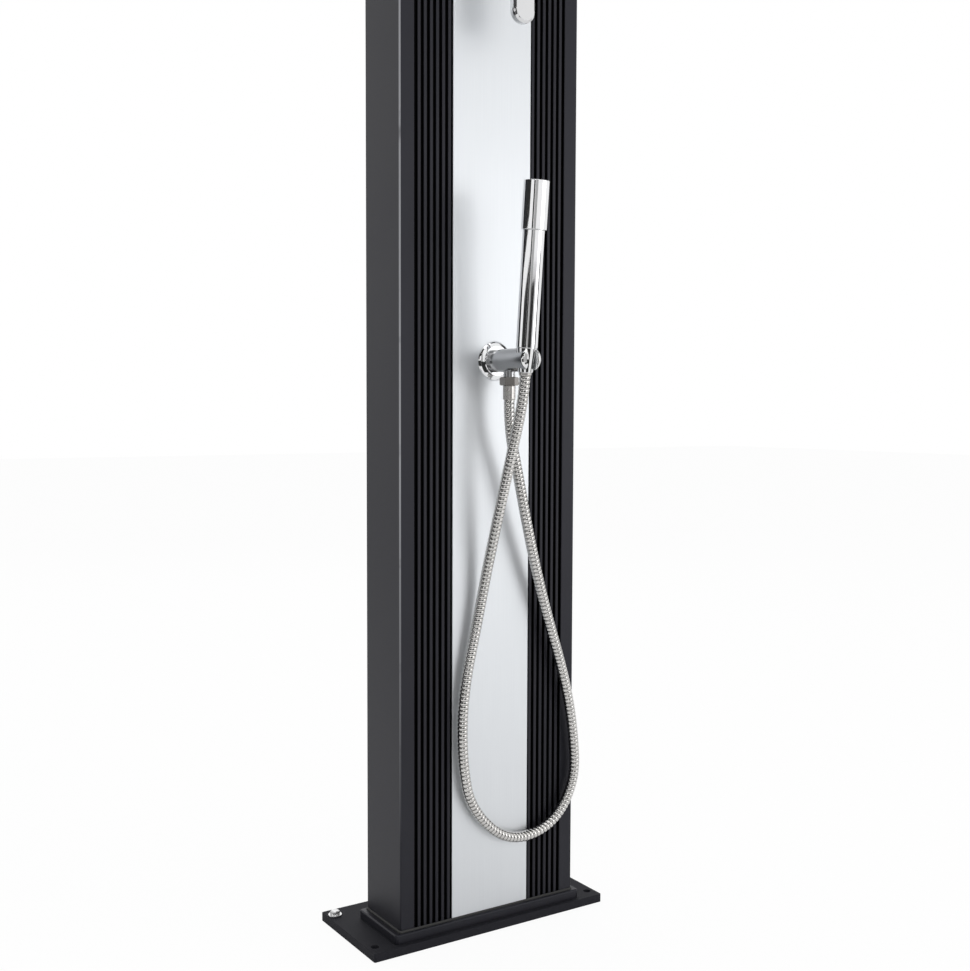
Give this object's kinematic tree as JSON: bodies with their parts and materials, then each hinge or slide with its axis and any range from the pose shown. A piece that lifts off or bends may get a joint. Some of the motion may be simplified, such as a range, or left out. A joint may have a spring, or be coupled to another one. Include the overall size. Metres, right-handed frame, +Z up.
{
  "type": "outdoor shower post",
  "caption": "Free-standing outdoor solar shower post: ribbed rectangular column on a base plate, mixer tap, overhead rose, and a hand shower in a holder with a ribbed hose.",
  "frame": {"origin": "middle of the underside of the base plate, on the floor", "axes": "+X to the right as seen from the front, +Y to the back, +Z up along the column; the taps and the hand shower are on the -Y side"},
  "size_m": [0.318, 0.5545, 2.182],
  "materials": {
    "black_coat": "matt black powder coat on aluminium",
    "black_steel": "matt black powder coat on steel",
    "satin_silver": "satin anodised",
    "chrome_plate": "polished chrome plate",
    "steel_hose": "polished stainless spiral",
    "stainless": "plain stainless",
    "brass_body": "raw cast brass",
    "black_rubber": "matt",
    "grey_plastic": "matt",
    "white_plastic": "matt",
    "silicone_face": "soft, matt"
  },
  "bodies": {
    "post": {"anchor_bolt": "stainless", "anchor_washer": "stainless", "arm_elbow": "brass_body", "arm_flange": "chrome_plate", "ball_nipple": "chrome_plate", "base_plate": "black_steel", "base_screws": "black_steel", "cap_screws": "black_steel", "cartridge_nut": "brass_body", "chamber_plugs": "grey_plastic", "cold_pipe": "stainless", "column_profile": "black_coat", "diverter_body": "brass_body", "diverter_flange": "chrome_plate", "drain_plug": "brass_body", "drain_washer": "black_rubber", "foot_collar": "black_coat", "foot_seal": "black_rubber", "front_panel": "satin_silver", "hand_pipe": "stainless", "holder_body": "chrome_plate", "holder_nut": "brass_body", "holder_rosette": "chrome_plate", "hose_nut": "chrome_plate", "hot_manifold": "brass_body", "hot_pipe": "stainless", "hot_tubes": "stainless", "inlet_fitting": "brass_body", "inlet_manifold": "brass_body", "inlet_tubes": "stainless", "inlet_washer": "black_rubber", "lower_ferrule": "chrome_plate", "mixed_pipe": "stainless", "mixer_body": "brass_body", "mixer_cartridge": "white_plastic", "mixer_flange": "chrome_plate", "mixer_sleeve": "chrome_plate", "plug_seals": "black_rubber", "riser_pipe": "stainless", "shower_arm": "chrome_plate", "shower_hose": "steel_hose", "top_cap": "black_coat"},
    "handset": {"handset_body": "chrome_plate", "handset_head": "chrome_plate", "spray_insert": "grey_plastic", "cone_nut": "chrome_plate", "upper_ferrule": "chrome_plate"},
    "mixer_turret": {"cartridge_rotor": "white_plastic", "stem_pin": "stainless", "mixer_dome": "chrome_plate"},
    "mixer_lever": {"mixer_stem": "brass_body", "mixer_handle": "chrome_plate", "handle_screw": "stainless"},
    "diverter_dial": {"diverter_spindle": "brass_body", "diverter_knob": "chrome_plate"},
    "head_ring": {"swivel_ring": "grey_plastic"},
    "overhead": {"swivel_collar": "chrome_plate", "overhead_shell": "chrome_plate", "overhead_face": "silicone_face"}
  },
  "joints": [
    {"name": "handset_lift", "type": "slide", "parent": "post", "child": "handset", "axis": [0, -0.0958, 0.9954], "range_m": [0, 0.04]},
    {"name": "mixer_turn", "type": "hinge", "parent": "post", "child": "mixer_turret", "pos_m": [0.004, -0.0905, 1.13], "axis": [0, 1, 0], "range_deg": [-45, 45]},
    {"name": "mixer_lift", "type": "hinge", "parent": "mixer_turret", "child": "mixer_lever", "pos_m": [0.004, -0.0905, 1.13], "axis": [-1, 0, 0], "range_deg": [0, 25]},
    {"name": "diverter_turn", "type": "hinge", "parent": "post", "child": "diverter_dial", "pos_m": [0.004, -0.0765, 1.29], "axis": [0, 1, 0], "range_deg": [-90, 90]},
    {"name": "head_tilt", "type": "hinge", "parent": "post", "child": "head_ring", "pos_m": [0.004, -0.3865, 2.012], "axis": [1, 0, 0], "range_deg": [-12, 12]},
    {"name": "head_roll", "type": "hinge", "parent": "head_ring", "child": "overhead", "pos_m": [0.004, -0.3865, 2.012], "axis": [0, 1, 0], "range_deg": [-12, 12]}
  ]
}
